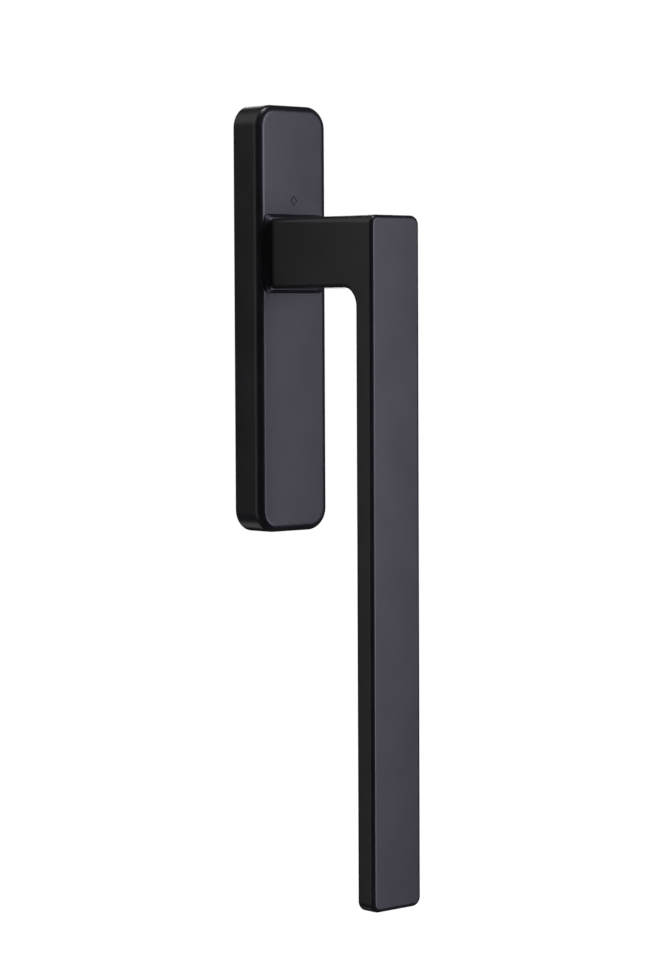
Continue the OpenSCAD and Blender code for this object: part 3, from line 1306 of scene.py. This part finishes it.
@dataclass
class Studio:
    """Pale floor, white surroundings and soft light."""

    floor_size: float = 14
    floor_below: float = 0.12
    floor_grey: float = 0.85
    floor_glow: float = 1.04
    glow_share: float = 0.97
    ambient: float = 0.012

    def build(self) -> None:
        """Sets up the floor, the surroundings and the lamps."""
        low, high = cad_box
        self.surroundings()
        self.floor(low.z - self.floor_below)
        lamps = [
            Softbox("key", azimuth=28, height=0.06, distance=1.1, width=0.36, tall=1.1, power=7.6,
                    tint=(0.92, 0.87, 1.08)),
            Softbox("overhead", azimuth=-20, height=1.3, distance=0.15, width=0.35, tall=0.35,
                    power=4.5),
            Softbox("back_left_top", azimuth=-140, height=0.8, distance=0.8, width=0.9, tall=0.9,
                    power=1.25),
            Softbox("back_low", azimuth=180, height=-0.75, distance=0.9, width=0.5, tall=0.4,
                    power=0.35),
            Softbox("side_fill", azimuth=-116, height=0.08, distance=0.45, width=0.3, tall=0.9,
                    power=0.42),
            Softbox("rear", azimuth=140, height=0.3, distance=1.3, width=1.1, tall=0.9, power=9),
        ]
        for lamp in lamps:
            lamp.hang((low + high) / 2)
        bpy.context.scene.view_settings.view_transform = "Standard"

    def surroundings(self) -> None:
        """Makes the world white to the camera and dim to the handle."""
        world = bpy.data.worlds.new("studio")
        bpy.context.scene.world = world
        world.use_nodes = True
        write = TreeWriter(world.node_tree)
        to_camera = write.add("ShaderNodeLightPath").outputs["Is Camera Ray"]
        dim = write.add("ShaderNodeBackground", {"Color": (*[self.ambient] * 3, 1)})
        white = write.add("ShaderNodeBackground", {"Color": (1, 1, 1, 1)})
        mix = write.add("ShaderNodeMixShader", {0: to_camera, 1: dim, 2: white})
        write.add("ShaderNodeOutputWorld", {"Surface": mix})

    def floor(self, level: float) -> None:
        """Lays the floor, which glows for the camera and is clear from below.

        Args:
            level: Its height.
        """
        half = self.floor_size / 2
        corners = [(x * half, y * half, level) for x, y in ((-1, -1), (1, -1), (1, 1), (-1, 1))]
        mesh = bpy.data.meshes.new("floor")
        mesh.from_pydata(corners, [], [(0, 1, 2, 3)])
        floor = place("floor", mesh)
        material = bpy.data.materials.new("pale_floor")
        material.use_nodes = True
        write = TreeWriter(material.node_tree)
        matt = write.add("ShaderNodeBsdfDiffuse", {"Color": (*[self.floor_grey] * 3, 1)})
        glow = write.add("ShaderNodeEmission", {"Strength": self.floor_glow})
        to_camera = write.add("ShaderNodeLightPath").outputs["Is Camera Ray"]
        share = write.math("MULTIPLY", to_camera, self.glow_share)
        top = write.add("ShaderNodeMixShader", {0: share, 1: matt, 2: glow})
        under = write.add("ShaderNodeNewGeometry").outputs["Backfacing"]
        clear = write.add("ShaderNodeBsdfTransparent")
        mix = write.add("ShaderNodeMixShader", {0: under, 1: top, 2: clear})
        write.add("ShaderNodeOutputMaterial", {"Surface": mix})
        mesh.materials.append(material)
        floor.visible_glossy = False


@dataclass
class ViewCamera:
    """The camera, which looks at the handle from its left and a little above."""

    stand: Vector = field(default_factory=lambda: Vector((-0.84101, -0.95906, -0.0286)))
    turn: float = 42.28
    tilt: float = -3.14
    roll: float = -0.26
    lens: float = 110.58
    sensor: float = 36

    def build(self) -> None:
        """Makes the camera and sets it as the scene's."""
        data = bpy.data.cameras.new("view")
        data.lens = self.lens
        data.sensor_width = self.sensor
        camera = bpy.data.objects.new("view", data)
        bpy.context.scene.collection.objects.link(camera)
        turn, tilt, roll = (math.radians(a) for a in (self.turn, self.tilt, self.roll))
        ahead = Vector((math.sin(turn) * math.cos(tilt), math.cos(turn) * math.cos(tilt),
                        math.sin(tilt)))
        level = Vector((math.cos(turn), -math.sin(turn), 0))
        upright = level.cross(ahead)
        right = math.cos(roll) * level + math.sin(roll) * upright
        up = math.cos(roll) * upright - math.sin(roll) * level
        camera.matrix_world = (Matrix.Translation(self.stand)
                               @ Matrix((right, up, -ahead)).transposed().to_4x4())
        bpy.context.scene.camera = camera


def main() -> None:
    """Builds the camera, the studio and every piece, in order."""
    logging.basicConfig(level=logging.INFO, format="%(message)s")
    ViewCamera().build()
    Studio().build()
    coat, casting, zinc = PowderCoat(), CastAlloy(), ZincPlate()
    steel, plastic, rubber = SpringSteel(), MouldedPlastic(), Rubber()
    CoverPlate().build(coat)
    Lever().build(coat)
    NeckCollar().build(coat)
    thread = thread_tree()
    FixingScrews(thread).build(zinc)
    SetScrew(thread).build(steel)
    SpringWasher().build(steel)
    BasePlate().build(casting)
    EasedPart("drive_hub", "turned", Body.LEVER, 0.15 * MM).build(zinc)
    EasedPart("spindle", "square", Body.LEVER, 0.2 * MM).build(zinc)
    EasedPart("lock_pin", "ground", Body.LEVER, 0.12 * MM).build(steel)
    EasedPart("stop_washer", "stamped", Body.LEVER, 0.12 * MM).build(steel)
    EasedPart("retaining_ring", "stamped", Body.LEVER, 0.08 * MM).build(steel)
    EasedPart("bearing_bush", "moulded", Body.BASE, 0.15 * MM).build(plastic)
    for clip in CLIPS:
        EasedPart(clip, "bent", Body.BASE, 0.06 * MM).build(steel)
    for buffer in ("end_buffer_upper", "end_buffer_lower"):
        EasedPart(buffer, "moulded", Body.BASE, 0.15 * MM).build(rubber)


if __name__ == "__main__":
    main()
